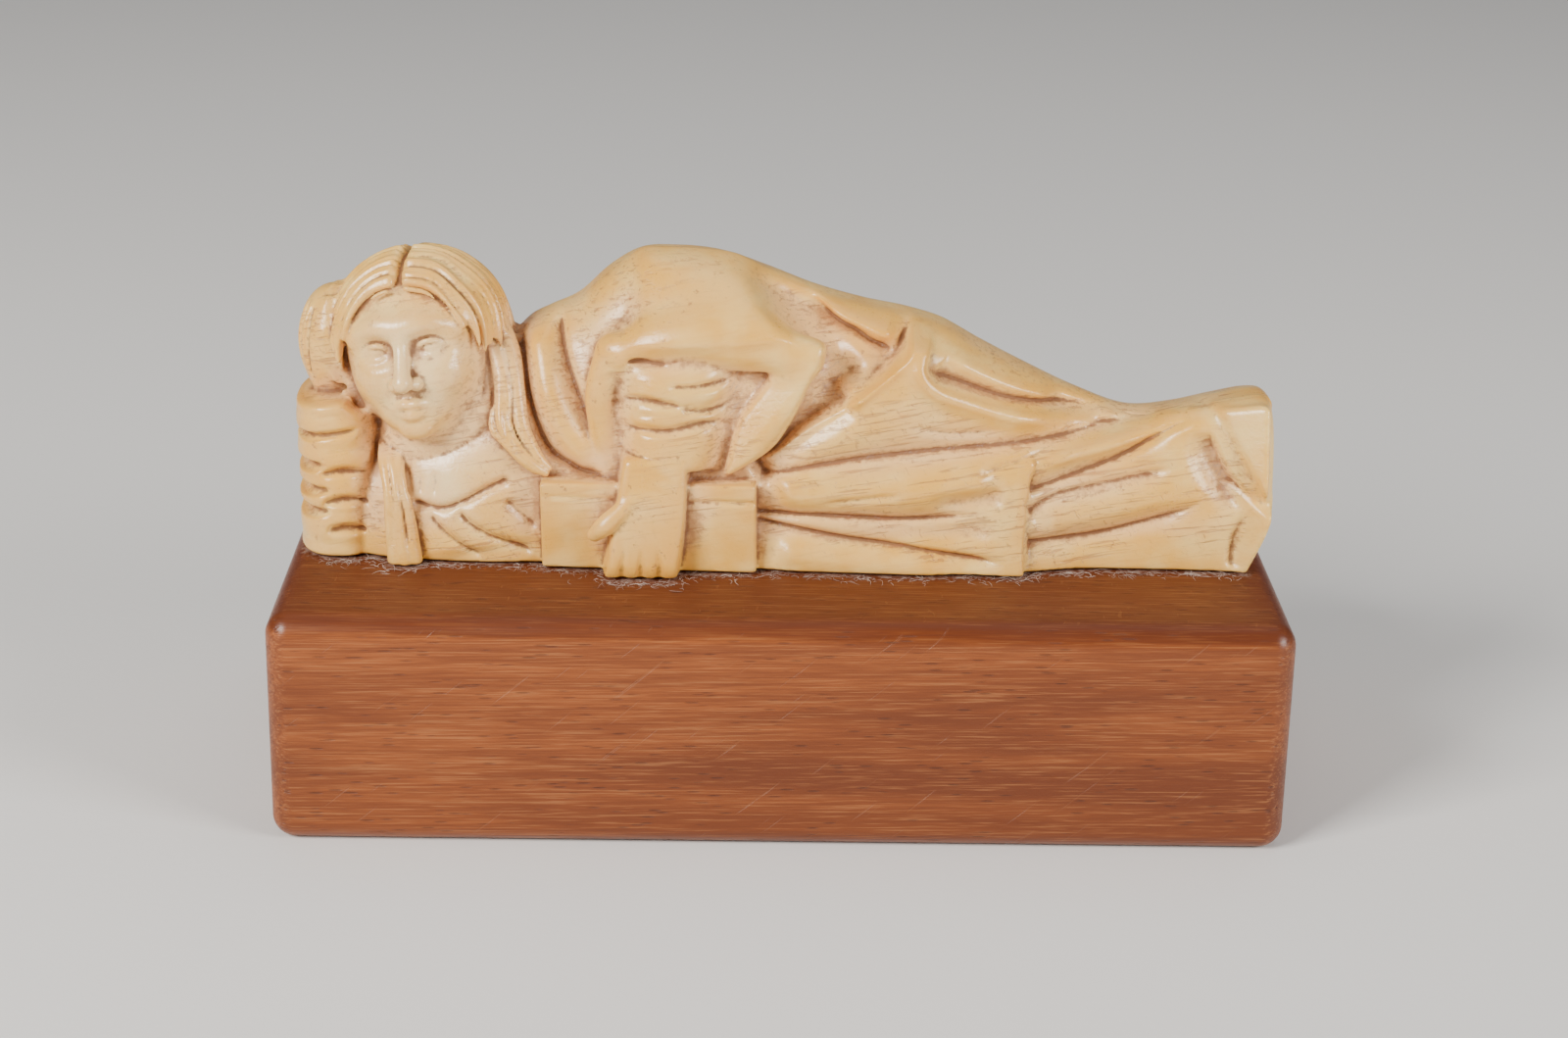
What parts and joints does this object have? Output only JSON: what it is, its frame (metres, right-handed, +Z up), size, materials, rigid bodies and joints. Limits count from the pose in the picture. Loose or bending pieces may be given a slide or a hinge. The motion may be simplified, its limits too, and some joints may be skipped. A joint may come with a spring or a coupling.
{
  "type": "reclining figurine",
  "caption": "Small ivory carving of a long-haired, robed person lying on one side with the head propped on a hand, a hand on a closed book, on a rectangular wooden block.",
  "frame": {"origin": "centre of the block's underside", "axes": "+X towards the figure's feet along the block, -Y towards the viewer, +Z up"},
  "size_m": [0.102, 0.05, 0.0561],
  "materials": {
    "ivory": "polished ivory, cream with brown stain in the cuts",
    "wood": "red-brown hardwood, satin polish"
  },
  "bodies": {
    "root": {"ivory_figure": "ivory", "wooden_block": "wood"}
  },
  "joints": []
}
